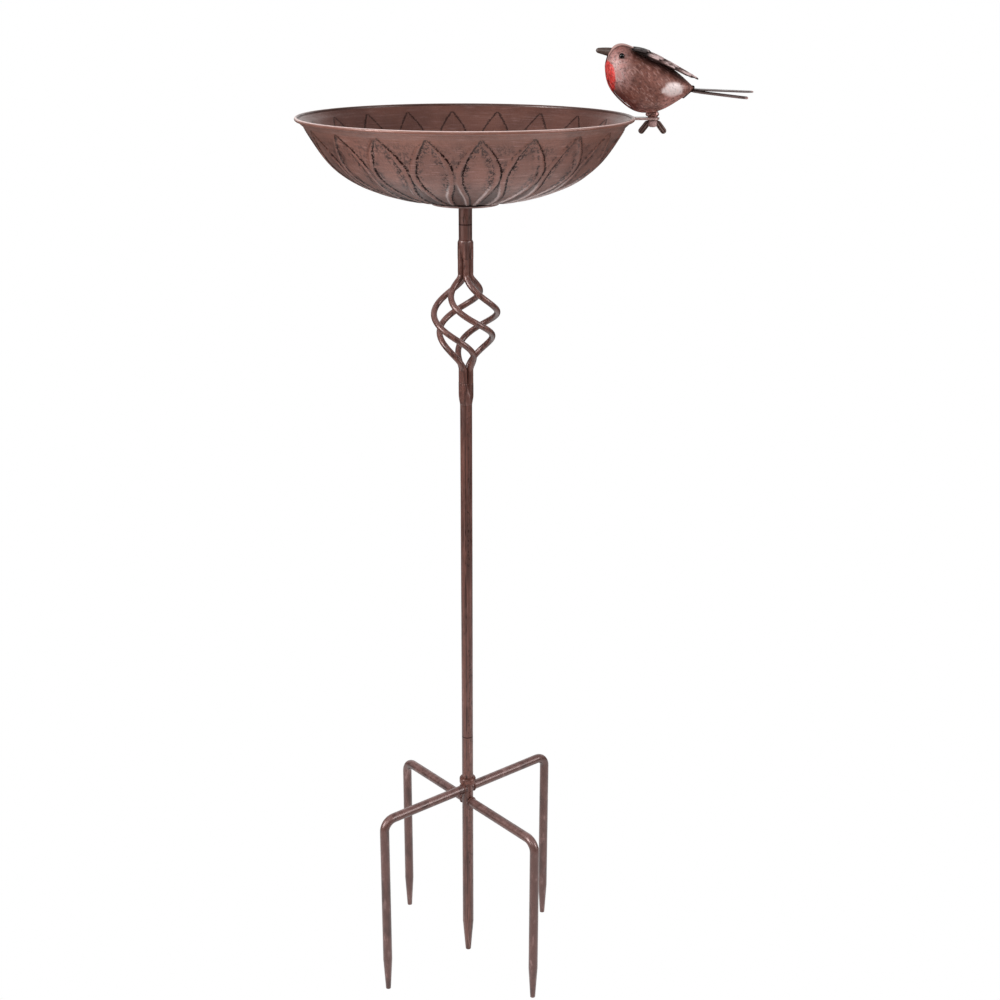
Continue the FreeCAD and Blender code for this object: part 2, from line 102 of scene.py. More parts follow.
def colour(code):
    """sRGB hex code as linear RGBA."""
    values = [int(code[i:i + 2], 16) / 255 for i in (1, 3, 5)]
    linear = [v / 12.92 if v <= 0.04045 else ((v + 0.055) / 1.055) ** 2.4 for v in values]
    return (*linear, 1.0)


def put(tree, kind, links=None, **settings):
    """Add a shader node with its settings.

    links maps an input's name or number to a constant or to another node's socket.
    """
    made = tree.nodes.new(kind)
    for key, value in settings.items():
        setattr(made, key, value)
    for key, value in (links or {}).items():
        if isinstance(value, bpy.types.NodeSocket):
            tree.links.new(value, made.inputs[key])
        else:
            made.inputs[key].default_value = value
    return made


def maths(tree, operation, first, second=0.0):
    """Result of one sum on two values."""
    return put(tree, "ShaderNodeMath", {0: first, 1: second}, operation=operation).outputs[0]


def ramp(tree, value, low, high, start=0.0, end=1.0):
    """Value turned smoothly from start to end as it goes from low to high."""
    made = put(
        tree, "ShaderNodeMapRange",
        {"Value": value, "From Min": low, "From Max": high, "To Min": start, "To Max": end},
        interpolation_type="SMOOTHSTEP",
    )
    return made.outputs["Result"]


def mix_colours(tree, factor, first, second):
    """Colour that goes from the first to the second as the factor goes from 0 to 1."""
    return put(tree, "ShaderNodeMix", {0: factor, 6: first, 7: second}, data_type="RGBA").outputs[2]


def noise(tree, coordinates, size, stretch=(1, 1, 1), detail=3.0, rough=0.55):
    """Noise whose features measure about size millimetres, drawn out by stretch along each axis."""
    scale = [1 / (MM * size * s) for s in stretch]
    mapped = put(tree, "ShaderNodeMapping", {"Vector": coordinates, "Scale": scale})
    made = put(
        tree, "ShaderNodeTexNoise",
        {"Vector": mapped.outputs[0], "Scale": 1.0, "Detail": detail, "Roughness": rough},
    )
    return made.outputs["Fac"]


def product(tree, *factors):
    """Product of several values."""
    total = factors[0]
    for factor in factors[1:]:
        total = maths(tree, "MULTIPLY", total, factor)
    return total


def attribute(tree, name):
    """Value of one of a piece's own attributes."""
    return put(tree, "ShaderNodeAttribute", attribute_name=name).outputs["Fac"]


def new_material(name):
    """Empty material: returns it, its node tree, its principled shader and Object coordinates."""
    material = bpy.data.materials.new(name)
    material.use_nodes = True
    tree = material.node_tree
    tree.nodes.clear()
    shader = tree.nodes.new("ShaderNodeBsdfPrincipled")
    output = tree.nodes.new("ShaderNodeOutputMaterial")
    tree.links.new(shader.outputs[0], output.inputs[0])
    coordinates = tree.nodes.new("ShaderNodeTexCoord").outputs["Object"]
    return material, tree, shader, coordinates


def bump(tree, height, distance, strength=1.0, below=None):
    """Normal raised by a height, distance in millimetres for a height of one."""
    links = {"Height": height, "Distance": distance * MM, "Strength": strength}
    if below is not None:
        links["Normal"] = below
    return put(tree, "ShaderNodeBump", links).outputs[0]


# ---- finishes ----

DARK_TONE_AND_SHADE = "#452721"           # darker patches of the coat; also painted shade over the bowl's inner face
WORN_AND_HIGHLIGHT = "#C7A19D"           # rubbed, paler edges; also painted highlight on the upper faces of bars and rods
PATINA_AND_SHADE = "#241614"         # black wax left in hollows and brush marks; also painted shade under the robin's wings and its rows of feathers
WAX_AND_SHADE = "#26100B"            # dark wax in creases and joints; also painted shade under bars and rods, on the back of the rolled edge and beside the crown
INK = "#170503"            # darkest wax, in the corner of a rib


def bronze(name, stretch, streak, patches, gloss, base, extra=None, rough=(0.3, 0.45), painted_light=0.0):
    """Bronze-effect enamel on steel, brushed and rubbed with dark wax.

    stretch draws the brush marks out along the piece, streak and patches say how dark the
    brush marks and the wax patches are, and a share of painted light makes upper sides paler as
    painted highlight and undersides darker as painted shade. extra(tree, coordinates, colour)
    gives a piece's own colour and normal. Waxed places are dull, so gloss follows the colour's lightness.
    """
    material, tree, shader, at = new_material(name)
    tone = ramp(tree, noise(tree, at, 34, detail=4), 0.3, 0.7)
    tint = mix_colours(tree, maths(tree, "MULTIPLY", tone, 0.45), colour(base), colour(DARK_TONE_AND_SHADE))
    fine = ramp(tree, noise(tree, at, 0.9, stretch, 5, 0.65), 0.42, 0.72)
    tint = mix_colours(tree, maths(tree, "MULTIPLY", fine, streak), tint, colour(DARK_TONE_AND_SHADE))
    pale = ramp(tree, noise(tree, at, 1.3, stretch, 4, 0.6), 0.54, 0.8)
    tint = mix_colours(tree, maths(tree, "MULTIPLY", pale, 0.35), tint, colour(WORN_AND_HIGHLIGHT))
    spot = ramp(tree, noise(tree, at, 2.6, [max(1, s / 4) for s in stretch], 5, 0.7), 0.585, 0.66)
    where = ramp(tree, noise(tree, at, 26, detail=2), 0.42, 0.62)
    spot = maths(tree, "MULTIPLY", maths(tree, "MULTIPLY", spot, where), patches)
    tint = mix_colours(tree, spot, tint, colour(PATINA_AND_SHADE))
    broad = ramp(tree, noise(tree, at, 3.2, stretch, 2, 0.5), 0.49, 0.63)
    tint = mix_colours(tree, maths(tree, "MULTIPLY", broad, streak), tint, colour(WAX_AND_SHADE))
    # painted light: faces pointing up are paler as painted highlight, faces pointing down darker as painted
    # shade
    if painted_light:
        normals = put(tree, "ShaderNodeNewGeometry").outputs["Normal"]
        facing = put(tree, "ShaderNodeSeparateXYZ", {0: normals}).outputs[2]
        uneven = ramp(tree, noise(tree, at, 6, detail=3), 0.35, 0.6, 0.4, 1.0)
        upper = product(tree, ramp(tree, facing, 0.35, 0.8), uneven, painted_light)
        tint = mix_colours(tree, upper, tint, colour(WORN_AND_HIGHLIGHT))
        under = product(tree, ramp(tree, facing, -0.1, -0.7), uneven, painted_light)
        tint = mix_colours(tree, under, tint, colour(WAX_AND_SHADE))
    normal = None
    if extra:
        tint, normal = extra(tree, at, tint)
    tree.links.new(tint, shader.inputs["Base Color"])
    grain = noise(tree, at, 0.7, [max(1, s / 6) for s in stretch], 4, 0.6)
    tree.links.new(ramp(tree, noise(tree, at, 5, detail=4), 0.3, 0.7, *rough), shader.inputs["Roughness"])
    shader.inputs["Metallic"].default_value = 0.3
    tree.links.new(ramp(tree, tint, 0.008, 0.024, 0.1, 0.5), shader.inputs["Specular IOR Level"])
    tree.links.new(ramp(tree, tint, 0.008, 0.024, 0.0, gloss), shader.inputs["Coat Weight"])
    shader.inputs["Coat Roughness"].default_value = 0.28
    tree.links.new(bump(tree, grain, 0.12, 0.5, normal), shader.inputs["Normal"])
    return material


def bowl_marks(tree, at, tint):
    """Painted shade over the inner face, turned brush rings, wax and nicks along the leaves, a reddish band
    high on the outer wall, and a painted highlight and painted shade on the rolled edge.
    """
    arc, inside = attribute(tree, "arc"), attribute(tree, "inside")
    outside = maths(tree, "SUBTRACT", 1.0, inside)
    split = put(tree, "ShaderNodeSeparateXYZ", {0: at}).outputs
    rings = put(
        tree, "ShaderNodeCombineXYZ",
        {0: maths(tree, "MULTIPLY", split[0], 22), 1: maths(tree, "MULTIPLY", split[1], 22), 2: arc},
    ).outputs[0]
    ring = put(
        tree, "ShaderNodeTexNoise",
        {"Vector": rings, "Scale": 1.0, "Detail": 5.0, "Roughness": 0.6},
    ).outputs["Fac"]
    # painted shade: the whole inner face darker, where the bowl shades itself
    tint = mix_colours(tree, product(tree, inside, 0.35), tint, colour(DARK_TONE_AND_SHADE))
    tint = mix_colours(tree, product(tree, ramp(tree, ring, 0.5, 0.75), 0.2), tint, colour(DARK_TONE_AND_SHADE))
    tint = mix_colours(tree, product(tree, ramp(tree, ring, 0.5, 0.25), 0.1), tint, colour(WORN_AND_HIGHLIGHT))
    tint = rib_marks(tree, at, tint, arc, inside, outside)
    tint, nick = chisel_marks(tree, at, tint, arc, outside)
    top = product(tree, ramp(tree, arc, 150, 180), outside, 0.12)
    tint = mix_colours(tree, top, tint, colour("#9A6450"))
    # painted highlight on the rolled edge's upper outer side, then painted shade on its back
    tint = mix_colours(tree, attribute(tree, "shine"), tint, colour("#FFE3DD"))
    tint = mix_colours(tree, product(tree, attribute(tree, "shade"), 0.8), tint, colour(WAX_AND_SHADE))
    carved = bump(tree, nick, -0.35, 0.6)
    return tint, bump(tree, ring, 0.06, 0.4, carved)


def rib_marks(tree, at, tint, arc, inside, outside):
    """Wax in the corner of each rib, solid on its right side and broken on its left, and a painted highlight
    along the left flank of the lower ribs.
    """
    across, rib, half = (attribute(tree, key) for key in ("across", "rib", "half"))
    jag = maths(tree, "MULTIPLY", maths(tree, "SUBTRACT", noise(tree, at, 1.6, detail=3), 0.5), 4.5)
    away = maths(tree, "ADD", maths(tree, "ABSOLUTE", rib), jag)
    edge = maths(tree, "SUBTRACT", away, half)
    band = product(tree, ramp(tree, edge, -1.3, -0.8), ramp(tree, edge, 1.0, 0.5), outside)
    breaks = noise(tree, at, 3.5, detail=4, rough=0.65)
    strong = product(tree, band, ramp(tree, across, -0.5, 0.5), ramp(tree, breaks, 0.35, 0.46))
    left = ramp(tree, across, 0.5, -0.5)
    dotted = product(tree, band, left, ramp(tree, breaks, 0.5, 0.58), 0.8)
    tint = mix_colours(tree, strong, tint, colour(INK))
    tint = mix_colours(tree, dotted, tint, colour(INK))
    groove = product(tree, ramp(tree, away, 1.3, 0.5), inside, 0.85)
    tint = mix_colours(tree, groove, tint, colour(WAX_AND_SHADE))
    # painted highlight along the left flank of each rib, stronger below the necks
    low = ramp(tree, arc, 132, 108, 0.0, 0.6)
    painted_crest_highlight = product(tree, ramp(tree, edge, -2.4, -1.5), ramp(tree, edge, 0.2, -0.5), left)
    return mix_colours(tree, product(tree, painted_crest_highlight, low, outside), tint, colour("#CDBAB8"))


def chisel_marks(tree, at, tint, arc, outside):
    """Small dark nicks inside the leaves and at their necks, and dark slots between them lower down."""
    rib = attribute(tree, "rib")
    nick = ramp(tree, noise(tree, at, 2.2, (1, 1, 1.6), 3, 0.7), 0.49, 0.53)
    near = product(tree, ramp(tree, rib, -11.0, -6.0), ramp(tree, rib, -1.0, -2.6))
    high = product(tree, ramp(tree, arc, 100, 122), ramp(tree, arc, 178, 174), outside)
    where = ramp(tree, noise(tree, at, 16, detail=2), 0.36, 0.5)
    tint = mix_colours(tree, product(tree, nick, near, high, where, 0.9), tint, colour(WAX_AND_SHADE))
    level = product(tree, ramp(tree, arc, 128, 138), ramp(tree, arc, 176, 166), outside)
    neck = product(tree, ramp(tree, rib, 1.5, 3.5), level)
    tint = mix_colours(tree, product(tree, nick, neck, where, 0.6), tint, colour(WAX_AND_SHADE))
    slot = product(tree, ramp(tree, rib, 1.8, 3.6), ramp(tree, arc, 130, 120), outside)
    return mix_colours(tree, product(tree, slot, 0.45), tint, colour(PATINA_AND_SHADE)), nick


def bird_marks(tree, at, tint):
    """Red bib, pink breast, a pale painted highlight on the rump, maroon belly, dark wax with painted shade on
    the back under the wings, and a pale stripe with dark lines on the crown as painted highlight and shade.

    along runs from the screw to the tail and high from the rim upwards, in millimetres; place
    is along with a ragged edge.
    """
    split = put(tree, "ShaderNodeSeparateXYZ", {0: at}).outputs
    along = maths(tree, "SUBTRACT", maths(tree, "MULTIPLY", split[0], 1 / MM), SCREW_X)
    high = maths(tree, "SUBTRACT", maths(tree, "MULTIPLY", split[2], 1 / MM), RIM_Z)
    drift = maths(tree, "SUBTRACT", noise(tree, at, 7, detail=4), 0.5)
    place = maths(tree, "ADD", along, maths(tree, "MULTIPLY", drift, 14))
    leaned = put(tree, "ShaderNodeMapping", {"Vector": at, "Rotation": (0.0, -0.85, 0.0)}).outputs[0]
    strokes = noise(tree, leaned, 1.0, (7, 1.6, 1.6), 4, 0.65)
    tint = breast_paint(tree, tint, place, high, strokes)
    tint = bib_paint(tree, at, tint, along, high, drift)
    tint, rump = back_paint(tree, tint, place, high)
    blots = ramp(tree, noise(tree, at, 2.4, detail=4), 0.53, 0.6)
    spots = product(tree, blots, ramp(tree, rump, 0.6, 0.2), 0.6)
    tint = mix_colours(tree, spots, tint, colour("#4A241F"))
    tint = mix_colours(tree, ramp(tree, strokes, 0.54, 0.66, 0.0, 0.45), tint, colour(PATINA_AND_SHADE))
    tint = mix_colours(tree, ramp(tree, strokes, 0.46, 0.36, 0.0, 0.35), tint, colour("#C39A92"))
    aside = maths(tree, "ABSOLUTE", maths(tree, "MULTIPLY", split[1], 1 / MM))
    # crown: a pale stripe as painted highlight of the seam ridge, with a dark line each side as painted shade
    crown = product(tree, ramp(tree, high, 50, 54), ramp(tree, along, -12, -20))
    tint = mix_colours(tree, product(tree, crown, ramp(tree, aside, 8.4, 7.6), 0.7), tint, colour(WAX_AND_SHADE))
    tint = mix_colours(tree, product(tree, crown, ramp(tree, aside, 7.2, 6.2), 0.9), tint, colour("#B98F88"))
    seam = product(tree, ramp(tree, aside, 1.2, 0.8), ramp(tree, high, 48, 44), 0.8)
    return mix_colours(tree, seam, tint, colour(WAX_AND_SHADE)), bump(tree, strokes, 0.25, 0.5)


def breast_paint(tree, tint, place, high, strokes):
    """Pink breast with grey strokes, partly painted highlight, maroon belly and a reddish brow."""
    breast = product(tree, ramp(tree, place, -20, -38), ramp(tree, high, 20, 34), ramp(tree, high, 66, 56))
    tint = mix_colours(tree, product(tree, breast, 0.7), tint, colour("#B07C78"))
    # light grey strokes on the breast: partly the breast's paint, partly painted highlight
    grey = product(tree, ramp(tree, strokes, 0.45, 0.6), breast, 0.5)
    tint = mix_colours(tree, grey, tint, colour("#C9B4B0"))
    belly = maths(tree, "ADD", high, maths(tree, "MULTIPLY", place, 0.62))
    maroon = product(tree, ramp(tree, belly, 8, -6), ramp(tree, high, 34, 22))
    tint = mix_colours(tree, product(tree, maroon, 0.75), tint, colour("#551E1E"))
    brow = product(tree, ramp(tree, place, -24, -34), ramp(tree, high, 52, 62))
    return mix_colours(tree, product(tree, brow, 0.4), tint, colour("#8E4A42"))


def bib_paint(tree, at, tint, along, high, drift):
    """Red bib down the throat, with darker upright strokes and paler ones as painted glints."""
    rag = maths(tree, "ADD", maths(tree, "MULTIPLY", drift, 5), ramp(tree, high, 38, 54, 0.0, 7.0))
    low_end = maths(tree, "ADD", high, maths(tree, "MULTIPLY", drift, 6))
    bib = product(
        tree, ramp(tree, maths(tree, "ADD", along, rag), -36.5, -38.5),
        ramp(tree, high, 54, 48), ramp(tree, low_end, 22, 26),
    )
    tint = mix_colours(tree, product(tree, bib, 0.95), tint, colour("#D42A22"))
    upright = noise(tree, at, 1.0, (1, 1, 5), 4, 0.6)
    tint = mix_colours(tree, product(tree, bib, ramp(tree, upright, 0.52, 0.66), 0.6), tint, colour("#7A1512"))
    # paler upright strokes on the bib: painted glints
    return mix_colours(tree, product(tree, bib, ramp(tree, upright, 0.42, 0.32), 0.5), tint, colour("#F0B0AA"))


def back_paint(tree, tint, place, high):
    """Pale oval on the rump as painted highlight, pink under the tail and black wax with painted shade under
    the wings; returns colour and oval.
    """
    # painted highlight: a pale oval on the rump
    wide = maths(tree, "POWER", maths(tree, "DIVIDE", maths(tree, "SUBTRACT", place, 16.0), 10.5), 2.0)
    tall = maths(tree, "POWER", maths(tree, "DIVIDE", maths(tree, "SUBTRACT", high, 25.0), 7.0), 2.0)
    rump = ramp(tree, maths(tree, "ADD", wide, tall), 1.3, 0.3)
    tint = mix_colours(tree, product(tree, rump, 0.9), tint, colour("#CDBDBB"))
    under = product(tree, ramp(tree, place, 2, 12), ramp(tree, high, 24, 16))
    tint = mix_colours(tree, product(tree, under, 0.5), tint, colour("#B98078"))
    # black wax with painted shade on the body under the wings
    slope = maths(tree, "ADD", high, maths(tree, "MULTIPLY", place, 0.445))
    back = product(tree, ramp(tree, slope, 39, 49), ramp(tree, place, -28, -16))
    return mix_colours(tree, product(tree, back, 0.6), tint, colour(PATINA_AND_SHADE)), rump


def plain(name, code, rough, metallic=0.0, coat=0.0, grain=0.5):
    """Plain finish with a little variation in colour, roughness and surface."""
    material, tree, shader, at = new_material(name)
    tone = ramp(tree, noise(tree, at, 3, detail=4), 0.3, 0.7)
    dark = [c * 0.6 for c in colour(code)[:3]] + [1.0]
    tree.links.new(mix_colours(tree, tone, colour(code), dark), shader.inputs["Base Color"])
    tree.links.new(ramp(tree, noise(tree, at, 1.5), 0.3, 0.7, rough, rough + 0.12), shader.inputs["Roughness"])
    tree.links.new(bump(tree, noise(tree, at, 0.8), 0.06, grain), shader.inputs["Normal"])
    shader.inputs["Metallic"].default_value = metallic
    shader.inputs["Coat Weight"].default_value = coat
    return material


def feather_paint(tree, at, tint):
    """Feathers with painted highlight on their pale fields, dark tips, dark edges, painted shade towards their
    roots and near black at the wing's front.
    """
    left, edge = attribute(tree, "tip"), attribute(tree, "edge")
    # painted highlight on the pale field of each feather, away from its tip and edges
    painted_light = product(tree, ramp(tree, left, 1.5, 3.0), ramp(tree, left, 16.0, 9.0), ramp(tree, edge, 0.4, 1.4))
    patch = ramp(tree, noise(tree, at, 4, detail=4), 0.34, 0.54)
    tint = mix_colours(tree, product(tree, painted_light, patch, 0.85), tint, colour("#D9BDBB"))
    rag = maths(tree, "MULTIPLY", maths(tree, "SUBTRACT", noise(tree, at, 1.6, detail=3), 0.5), 2.5)
    dark = ramp(tree, maths(tree, "ADD", left, rag), 2.8, 1.6)
    tint = mix_colours(tree, product(tree, dark, 0.9), tint, colour(WAX_AND_SHADE))
    tint = mix_colours(tree, product(tree, ramp(tree, edge, 0.8, 0.2), 0.85), tint, colour(WAX_AND_SHADE))
    # painted shade towards each feather's root, under the row above it
    deep = ramp(tree, maths(tree, "ADD", left, rag), 12.0, 18.0)
    tint = mix_colours(tree, product(tree, deep, 0.6), tint, colour(PATINA_AND_SHADE))
    forward = put(tree, "ShaderNodeSeparateXYZ", {0: at}).outputs[0]
    front = ramp(tree, forward, (SCREW_X - 5) * MM, (SCREW_X - 10) * MM)
    tint = mix_colours(tree, product(tree, front, 0.9), tint, colour("#14100F"))
    barb = noise(tree, at, 0.9, (4, 1, 4), 3, 0.6)
    return tint, bump(tree, barb, 0.12, 0.5)


def tube_marks(tree, at, tint):
    """Dark hairlines where tubes meet, a dark lengthwise seam and broken dark flecks."""
    split = put(tree, "ShaderNodeSeparateXYZ", {0: at}).outputs
    for height in JOINT_LINES:
        off = maths(tree, "ABSOLUTE", maths(tree, "SUBTRACT", split[2], height * MM))
        tint = mix_colours(tree, ramp(tree, off, 0.9 * MM, 0.4 * MM, 0.0, 0.9), tint, colour(WAX_AND_SHADE))
    seam = maths(tree, "ABSOLUTE", maths(tree, "ADD", split[0], 1.0 * MM))
    broken = ramp(tree, noise(tree, at, 12, (1, 1, 2)), 0.4, 0.5)
    front = product(tree, ramp(tree, split[1], 0.0, -2.0 * MM), broken)
    line = product(tree, ramp(tree, seam, 0.9 * MM, 0.3 * MM), front, 0.7)
    tint = mix_colours(tree, line, tint, colour(WAX_AND_SHADE))
    fleck = ramp(tree, noise(tree, at, 1.6, (1, 1, 2.2), 3, 0.7), 0.55, 0.6)
    where = ramp(tree, noise(tree, at, 20, (1, 1, 3)), 0.42, 0.52)
    side = product(tree, ramp(tree, split[0], -0.5 * MM, 1.5 * MM), where)
    tint = mix_colours(tree, product(tree, fleck, side, 0.8), tint, colour(WAX_AND_SHADE))
    return tint, bump(tree, fleck, -0.2, 0.5)


def tail_marks(tree, at, tint):
    """Tail feathers: dark, with a paler rounded end."""
    left = attribute(tree, "tip")
    end = product(tree, ramp(tree, left, 4.0, 1.5), ramp(tree, noise(tree, at, 3), 0.35, 0.6))
    tint = mix_colours(tree, product(tree, end, 0.6), tint, colour(WORN_AND_HIGHLIGHT))
    root = ramp(tree, left, 44.0, 56.0)
    return mix_colours(tree, product(tree, root, 0.7), tint, colour(WAX_AND_SHADE)), None


RIDGE_PITCH = 2.4          # from one ridge of the wing nut to the next, millimetres


def nut_marks(tree, at, tint):
    """Raised ridges along both blades of the wing nut, dark between them."""
    split = put(tree, "ShaderNodeSeparateXYZ", {0: at}).outputs
    away = maths(tree, "ABSOLUTE", maths(tree, "SUBTRACT", split[0], SCREW_X * MM))
    crossways = maths(tree, "ADD", maths(tree, "MULTIPLY", away, 0.8), maths(tree, "MULTIPLY", split[2], 0.6))
    phase = maths(tree, "MULTIPLY", crossways, 2 * math.pi / (RIDGE_PITCH * MM))
    wave = maths(tree, "SINE", phase)
    blade = ramp(tree, away, 3.6 * MM, 4.6 * MM)
    tint = mix_colours(tree, product(tree, ramp(tree, wave, 0.1, -0.6), blade, 0.85), tint, colour(WAX_AND_SHADE))
    tint = mix_colours(tree, product(tree, ramp(tree, away, 4.4 * MM, 3.4 * MM), 0.5), tint, colour("#C9A3A0"))
    return tint, bump(tree, maths(tree, "MULTIPLY", wave, blade), 0.3, 0.6)


def lump_marks(tree, at, tint):
    """Pink spots of painted highlight and dark pits of a rough weld."""
    rough = noise(tree, at, 3.0, detail=4)
    # pink spots of painted highlight
    tint = mix_colours(tree, ramp(tree, rough, 0.5, 0.62, 0.0, 0.8), tint, colour("#D9A5A0"))
    tint = mix_colours(tree, ramp(tree, rough, 0.45, 0.36, 0.0, 0.9), tint, colour(WAX_AND_SHADE))
    return tint, bump(tree, rough, 0.8, 0.7)


UPRIGHT = (1, 1, 22)       # brush marks along the pole
LEVEL = (14, 14, 1)        # brush marks round the bowl

# spun steel with a turned, brushed coat: rings of brush marks and a soft sheen
bowl_finish = bronze("bronze_enamel_turned_bowl", LEVEL, 0.0, 0.12, 0.45, "#7C5044", bowl_marks)
# drawn steel tube, enamelled and wiped lengthwise with dark wax: long dark streaks under a clear gloss
pole_finish = bronze("bronze_enamel_upright_tube", UPRIGHT, 0.5, 0.9, 0.5, "#6B4238", tube_marks)
# drawn rod, twisted and wiped: painted highlight on top, painted shade underneath
rod_finish = bronze("bronze_enamel_twisted_rod", (1, 1, 5), 0.5, 0.6, 0.6, "#6B4238", painted_light=0.25)
# bent round bar under a darker enamel: glossy, with painted highlight on top and painted shade underneath
bar_finish = bronze("bronze_enamel_bent_bar", (5, 5, 14), 0.5, 0.7, 0.6, "#5F3F39", painted_light=0.2)
# welds, collar and small fittings under the same enamel: dull, with dark wax patches
fitting_finish = bronze("bronze_enamel_fittings", (2, 2, 2), 0.5, 0.7, 0.1, "#6B4238")
# pressed steel shells, enamel stroked on by hand: matt, with short fine strokes
bird_finish = bronze("hand_rubbed_bird_enamel", (6, 2, 2), 0.2, 0.2, 0.12, "#7B4A3E", bird_marks, (0.45, 0.6))
# thin pressed feathers: pale fields of painted highlight with dark wax edges
wing_finish = bronze("waxed_feather_enamel", (7, 1, 7), 0.5, 0.6, 0.3, "#7A5A55", feather_paint, (0.4, 0.55))
# stamped tail feathers, waxed along their length: dark, with a paler end
tail_finish = bronze("waxed_tail_enamel", (9, 1, 2), 0.5, 0.6, 0.1, "#5C4D4A", tail_marks)
# plain enamel on solids that the shaped feathers replace: matt brown
hidden_finish = bronze("plain_feather_enamel", (7, 1, 7), 0.5, 0.5, 0, "#54392F")
# flat strip, rubbed to a pale pinkish grey
tab_finish = bronze("rubbed_tab_enamel", (4, 1, 1), 0.4, 0.4, 0.4, "#A38681")
# cast nut with ridged wings, dark between the ridges
nut_finish = bronze("ridged_casting_enamel", (2, 2, 2), 0.3, 0.5, 0.1, "#6A514A", nut_marks)
# blob of weld under the coat: pitted, with pink spots of painted highlight
lump_finish = bronze("weld_lump_enamel", (1, 1, 1), 0.2, 0.3, 0.4, "#7A4A40", lump_marks)
# smooth dull enamel, grey brown
beak_finish = plain("beak_enamel", "#55453F", 0.35, 0.1)
# glass bead: black, with a small sharp glint
eye_finish = plain("black_glass_bead", "#030202", 0.12, 0.0, 0.0, 0.05)
# weld left black with wax: dull and dark
dark_finish = plain("black_wax_weld", "#241A18", 0.5, 0.2)
# uncoated drawn steel, bright
pin_finish = plain("bright_drawn_steel", "#A9A6A2", 0.28, 1.0)

# finish of each of the frame's nodes by a word in its name; the first that fits counts
FINISHES = {
    "pole": pole_finish, "stake": pole_finish, "head_tube": pole_finish, "socket": pole_finish,
    "rod": rod_finish, "prong": bar_finish, "plate": tab_finish, "tab": tab_finish, "pin": pin_finish,
    "body": bird_finish, "eye": eye_finish, "beak": beak_finish, "boss": lump_finish,
    "wing_left": hidden_finish, "wing_right": hidden_finish, "tail": hidden_finish, "wing_nut": nut_finish,
}
for node_name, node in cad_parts.items():
    chosen = next((finish for word, finish in FINISHES.items() if word in node_name), fitting_finish)
    node.data.materials.clear()
    node.data.materials.append(chosen)


# ---- surfaces ----

def grid_faces(rows, columns, first):
    """Quads, and the triangles round each pole, of a grid closed round its columns."""
    index = first + np.arange(rows * columns).reshape(rows, columns)
    index[0] = index[0, 0]
    index[-1] = index[-1, 0]
    right = np.roll(index, -1, axis=1)
    quads = np.stack([index[:-1], right[:-1], right[1:], index[1:]], axis=-1)
    return [quads[1:-1].reshape(-1, 4), quads[0][:, [0, 2, 3]], quads[-1][:, [0, 1, 2]]]


def piece(name, body, grids, finish, stands_for=(), values=None):
    """Mesh made of closed grids of points in millimetres, (rows, columns, 3), each with a pole at both ends.

    A grid whose faces point inwards is turned round. values holds, per attribute name, one
    array for each grid, in the grid's shape.
    """
    points, blocks, first = [], [], 0
    for grid in grids:
        grid_blocks = grid_faces(grid.shape[0], grid.shape[1], first)
        flat = grid.reshape(-1, 3)
        corners = flat[grid_blocks[0] - first]
        area = np.cross(corners[:, 2] - corners[:, 0], corners[:, 3] - corners[:, 1])
        if np.sum(area * (corners.mean(axis=1) - flat.mean(axis=0))) < 0:
            grid_blocks = [block[:, ::-1] for block in grid_blocks]
        blocks += grid_blocks
        points.append(flat)
        first += len(flat)
    points = np.concatenate(points)
    used = np.zeros(len(points), bool)
    for block in blocks:
        used[block.ravel()] = True
    new_index = np.cumsum(used) - 1
    faces = [face for block in blocks for face in new_index[block].tolist()]
    mesh = bpy.data.meshes.new(name)
    mesh.from_pydata((points[used] * MM).tolist(), [], faces)
    for key, value in (values or {}).items():
        layer = mesh.attributes.new(key, "FLOAT", "POINT")
        flat = np.concatenate([part.reshape(-1) for part in value])
        layer.data.foreach_set("value", flat[used].astype(np.float32))
    mesh.polygons.foreach_set("use_smooth", np.ones(len(mesh.polygons), bool))
    mesh.materials.append(finish)
    made = bpy.data.objects.new(name, mesh)
    bpy.context.scene.collection.objects.link(made)
    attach(made, body)
    if stands_for:
        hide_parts(*stands_for)
    return made


def spline(knots, values, at):
    """Natural cubic through values at knots, read at other places."""
    knots, values = np.asarray(knots, float), np.asarray(values, float)
    step = np.diff(knots)
    count = len(knots)
    system = np.eye(count)
    right = np.zeros(count)
    inner = np.arange(1, count - 1)
    system[inner, inner - 1] = step[:-1]
    system[inner, inner] = 2 * (step[:-1] + step[1:])
    system[inner, inner + 1] = step[1:]
    slope = np.diff(values) / step
    right[1:-1] = 6 * np.diff(slope)
    bend = np.linalg.solve(system, right)
    i = np.clip(np.searchsorted(knots, at) - 1, 0, count - 2)
    t = at - knots[i]
    start = slope[i] - step[i] * (2 * bend[i] + bend[i + 1]) / 6
    change = (bend[i + 1] - bend[i]) / (6 * step[i])
    return values[i] + t * start + t ** 2 * bend[i] / 2 + t ** 3 * change


def smooth(value, low, high):
    """Smooth step from 0 at low to 1 at high, either way round."""
    t = np.clip((value - low) / (high - low), 0, 1)
    return t * t * (3 - 2 * t)


